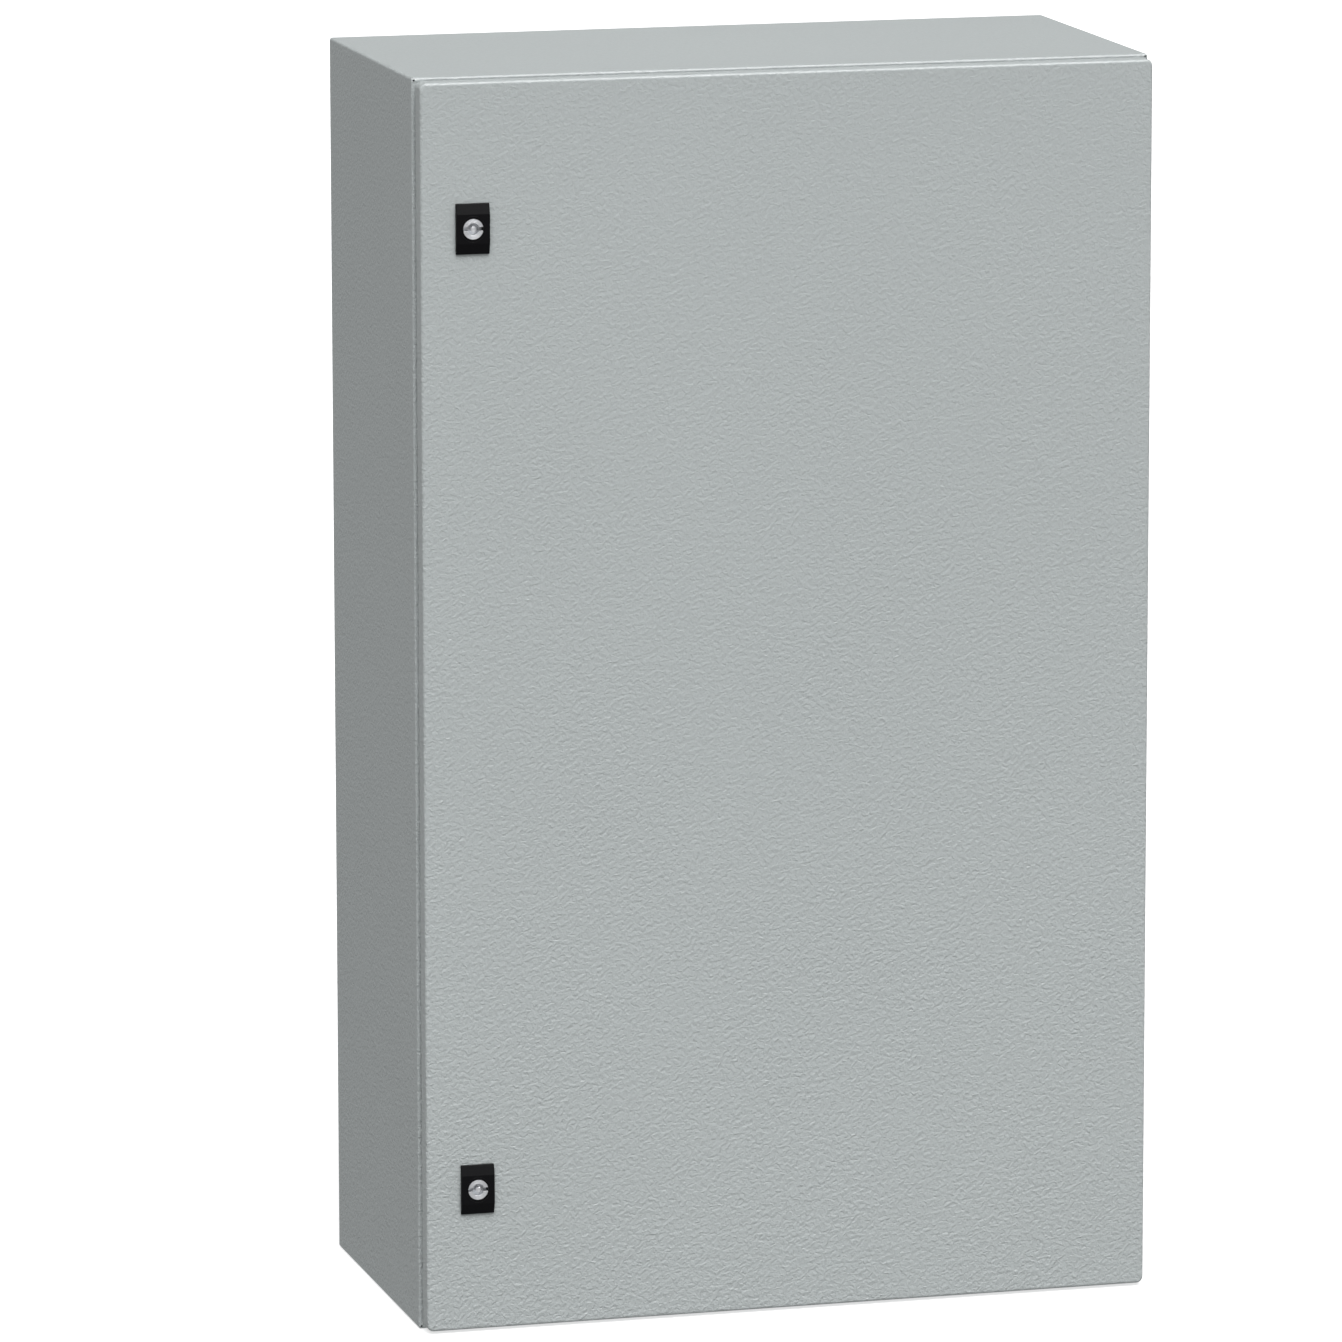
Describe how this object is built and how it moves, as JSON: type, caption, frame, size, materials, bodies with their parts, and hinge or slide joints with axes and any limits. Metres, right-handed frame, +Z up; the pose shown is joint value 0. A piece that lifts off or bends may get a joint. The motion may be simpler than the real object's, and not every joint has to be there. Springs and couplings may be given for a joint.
{
  "type": "switchboard cabinet",
  "caption": "Wall-mounting switchboard cabinet in folded sheet steel, with a blank hinged door, quarter-turn locks and a mounting plate inside.",
  "frame": {"origin": "centre of the four wall-fixing holes, on the outside of the back panel", "axes": "+X to the right as seen from the front, +Y into the wall, +Z up; the door faces -Y"},
  "size_m": [0.6, 0.3042, 1],
  "materials": {
    "grey_powder_coat": "textured powder coat, light grey, satin",
    "black_foam_rubber": "foamed in place, matt black",
    "black_plastic": "moulded, satin black",
    "satin_zinc_casting": "die-cast zinc with satin nickel plating",
    "zinc_plated_steel": "bright zinc plating"
  },
  "bodies": {
    "cabinet": {"body_wrap": "grey_powder_coat", "back_panel": "grey_powder_coat", "gland_seal": "black_foam_rubber", "gland_plate": "grey_powder_coat", "gland_screws": "zinc_plated_steel", "mounting_plate": "zinc_plated_steel", "mounting_studs": "zinc_plated_steel", "mounting_washers": "zinc_plated_steel", "mounting_nuts": "zinc_plated_steel", "body_earth_stud": "zinc_plated_steel", "body_earth_washer": "zinc_plated_steel", "body_earth_nut": "zinc_plated_steel", "hinge_bracket_upper": "zinc_plated_steel", "hinge_bracket_middle": "zinc_plated_steel", "hinge_bracket_lower": "zinc_plated_steel", "hinge_pin_upper": "zinc_plated_steel", "hinge_pin_middle": "zinc_plated_steel", "hinge_pin_lower": "zinc_plated_steel", "hinge_screws": "zinc_plated_steel"},
    "door": {"door_panel": "grey_powder_coat", "door_gasket": "black_foam_rubber", "door_rail_left": "grey_powder_coat", "door_rail_right": "grey_powder_coat", "hinge_leaf_upper": "zinc_plated_steel", "hinge_leaf_middle": "zinc_plated_steel", "hinge_leaf_lower": "zinc_plated_steel", "door_earth_stud": "zinc_plated_steel", "door_earth_washer": "zinc_plated_steel", "door_earth_nut": "zinc_plated_steel", "lock_upper_escutcheon": "black_plastic", "lock_upper_seal": "black_foam_rubber", "lock_upper_housing": "black_plastic", "lock_upper_nut": "zinc_plated_steel", "lock_lower_escutcheon": "black_plastic", "lock_lower_seal": "black_foam_rubber", "lock_lower_housing": "black_plastic", "lock_lower_nut": "zinc_plated_steel"},
    "lock_turn_upper": {"lock_upper_insert": "satin_zinc_casting", "lock_upper_cam": "zinc_plated_steel", "lock_upper_cam_screw": "zinc_plated_steel"},
    "lock_turn_lower": {"lock_lower_insert": "satin_zinc_casting", "lock_lower_cam": "zinc_plated_steel", "lock_lower_cam_screw": "zinc_plated_steel"}
  },
  "joints": [
    {"name": "door_hinge", "type": "hinge", "parent": "cabinet", "child": "door", "pos_m": [0.2914, -0.2934, 0], "axis": [0, 0, 1], "range_deg": [0, 120]},
    {"name": "lock_upper_turn", "type": "hinge", "parent": "door", "child": "lock_turn_upper", "pos_m": [-0.257, -0.3, 0.3834], "axis": [0, 1, 0], "range_deg": [0, 90]},
    {"name": "lock_lower_turn", "type": "hinge", "parent": "door", "child": "lock_turn_lower", "pos_m": [-0.257, -0.3, -0.3834], "axis": [0, 1, 0], "range_deg": [0, 90]}
  ]
}
